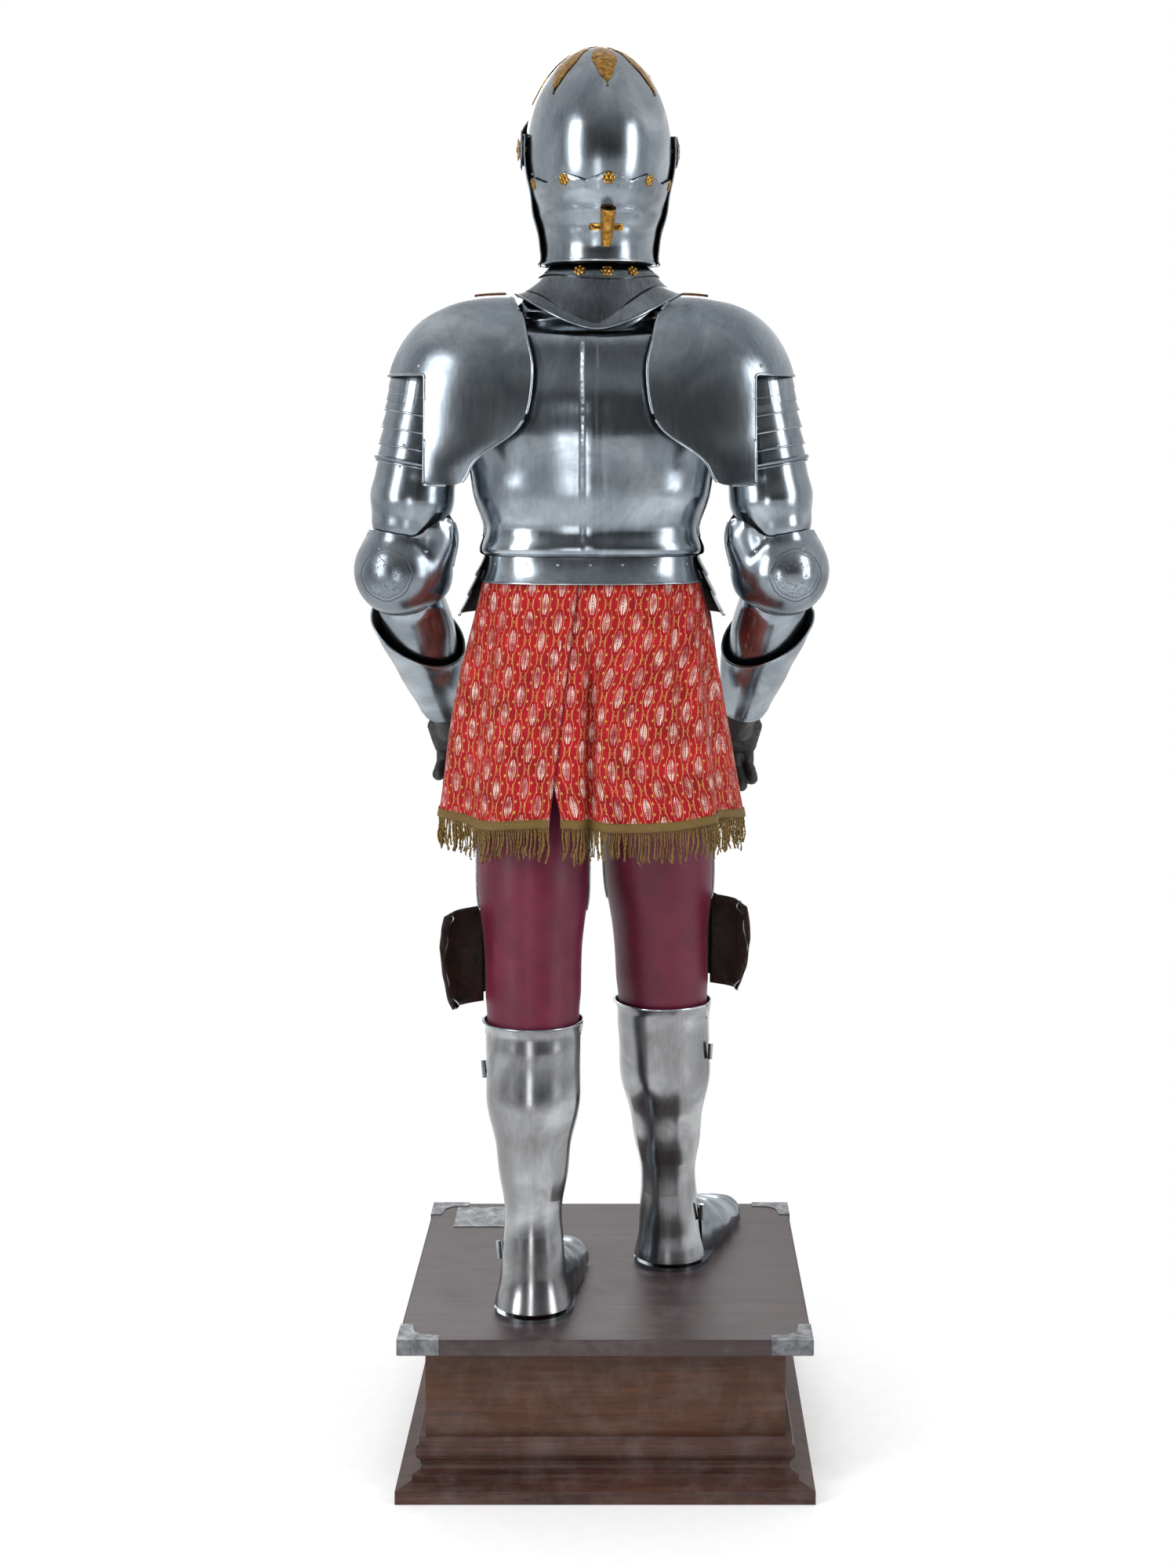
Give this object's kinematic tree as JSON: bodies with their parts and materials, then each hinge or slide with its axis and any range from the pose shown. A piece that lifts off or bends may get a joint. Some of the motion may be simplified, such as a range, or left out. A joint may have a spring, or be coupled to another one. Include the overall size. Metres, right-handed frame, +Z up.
{
  "type": "suit of plate armour on plinth",
  "caption": "Full decorative suit of plate armour standing on a stepped wooden plinth, with hinged visor, bevor, arms, greaves and a fringed brocade skirt.",
  "frame": {"origin": "centre of the underside of the plinth", "axes": "+Z up through the suit to the crown of the helmet, the suit faces -Y, its left arm is at +X"},
  "size_m": [0.678, 0.568, 1.993],
  "materials": {
    "dark_wood": "satin",
    "red_brown_wood": "satin",
    "pewter": "aged",
    "brass": "polished",
    "pine": "raw",
    "maroon_cloth": "satin weave",
    "brocade": "woven brocade",
    "gold_fringe": "twisted cord",
    "brown_leather": "worn",
    "black_leather": "worn",
    "polished_steel": "polished"
  },
  "bodies": {
    "stand": {"arm_forms": "maroon_cloth", "backplate": "polished_steel", "backplate_flange": "polished_steel", "breastplate": "polished_steel", "corner_brackets": "pewter", "fauld": "polished_steel", "gorget_lower_lame": "polished_steel", "gorget_middle_lame": "polished_steel", "gorget_rosettes": "brass", "gorget_top_lame": "polished_steel", "greave_hinges": "polished_steel", "head_block": "pine", "hip_block": "pine", "leather_straps": "brown_leather", "left_arm_lames": "polished_steel", "left_couter": "polished_steel", "left_cuisse": "polished_steel", "left_greave_front": "polished_steel", "left_leg_form": "maroon_cloth", "left_pauldron": "polished_steel", "left_poleyn": "polished_steel", "left_sabaton": "polished_steel", "left_upper_cannon": "polished_steel", "name_plate": "pewter", "plinth_bottom_board": "dark_wood", "plinth_moulding": "red_brown_wood", "plinth_side_panels": "dark_wood", "plinth_top_board": "dark_wood", "right_arm_lames": "polished_steel", "right_couter": "polished_steel", "right_cuisse": "polished_steel", "right_greave_front": "polished_steel", "right_leg_form": "maroon_cloth", "right_pauldron": "polished_steel", "right_poleyn": "polished_steel", "right_sabaton": "polished_steel", "right_upper_cannon": "polished_steel", "shoulder_bar": "pine", "skirt": "brocade", "skirt_fringe": "gold_fringe", "spine_post": "pine"},
    "helmet": {"helmet_skull": "polished_steel", "helmet_neck_guard": "polished_steel", "crown_star": "brass", "helmet_rosettes": "brass", "plume_holder": "brass", "plume_holder_band": "brass", "visor_pivots": "brass"},
    "visor": {"visor": "polished_steel"},
    "bevor": {"bevor": "polished_steel"},
    "left_forearm": {"left_lower_cannon": "polished_steel", "left_gauntlet_cuff": "polished_steel"},
    "left_hand": {"left_gauntlet_hand": "black_leather"},
    "left_tasset": {"left_tasset": "polished_steel"},
    "left_greave_door": {"left_greave_back": "polished_steel"},
    "right_forearm": {"right_lower_cannon": "polished_steel", "right_gauntlet_cuff": "polished_steel"},
    "right_hand": {"right_gauntlet_hand": "black_leather"},
    "right_tasset": {"right_tasset": "polished_steel"},
    "right_greave_door": {"right_greave_back": "polished_steel"}
  },
  "joints": [
    {"name": "helmet_turn", "type": "hinge", "parent": "stand", "child": "helmet", "pos_m": [0.012, 0.06, 1.845], "axis": [0, 0, 1], "range_deg": [-20, 20]},
    {"name": "visor_lift", "type": "hinge", "parent": "helmet", "child": "visor", "pos_m": [0.012, 0.06, 1.845], "axis": [-0.9914, -0.1305, 0], "range_deg": [0, 50]},
    {"name": "bevor_lift", "type": "hinge", "parent": "helmet", "child": "bevor", "pos_m": [0.012, 0.06, 1.845], "axis": [-0.9914, -0.1305, 0], "range_deg": [0, 20]},
    {"name": "left_elbow", "type": "hinge", "parent": "stand", "child": "left_forearm", "pos_m": [0.295, 0.06, 1.25], "axis": [-0.9608, 0.2774, 0], "range_deg": [0, 30]},
    {"name": "left_wrist", "type": "hinge", "parent": "left_forearm", "child": "left_hand", "pos_m": [0.24667, -0.10739, 1.04374], "axis": [-0.9608, 0.2774, 0], "range_deg": [-15, 15]},
    {"name": "left_tasset_strap", "type": "hinge", "parent": "stand", "child": "left_tasset", "pos_m": [0.14699, -0.05279, 1.18725], "axis": [-0.8756, -0.483, 0], "range_deg": [0, 6]},
    {"name": "left_greave_hinge", "type": "hinge", "parent": "stand", "child": "left_greave_door", "pos_m": [0.1507, 0.15498, 0.3026], "axis": [-0.0892, 0.1255, -0.9881], "range_deg": [0, 50]},
    {"name": "right_elbow", "type": "hinge", "parent": "stand", "child": "right_forearm", "pos_m": [-0.251, 0.06, 1.25], "axis": [-0.9608, -0.2774, 0], "range_deg": [0, 30]},
    {"name": "right_wrist", "type": "hinge", "parent": "right_forearm", "child": "right_hand", "pos_m": [-0.20267, -0.10739, 1.04374], "axis": [-0.9608, -0.2774, 0], "range_deg": [-15, 15]},
    {"name": "right_tasset_strap", "type": "hinge", "parent": "stand", "child": "right_tasset", "pos_m": [-0.10299, -0.05279, 1.18725], "axis": [-0.8756, 0.483, 0], "range_deg": [0, 6]},
    {"name": "right_greave_hinge", "type": "hinge", "parent": "stand", "child": "right_greave_door", "pos_m": [-0.13671, -0.00326, 0.3026], "axis": [-0.0488, 0.1191, 0.9917], "range_deg": [0, 50]}
  ]
}
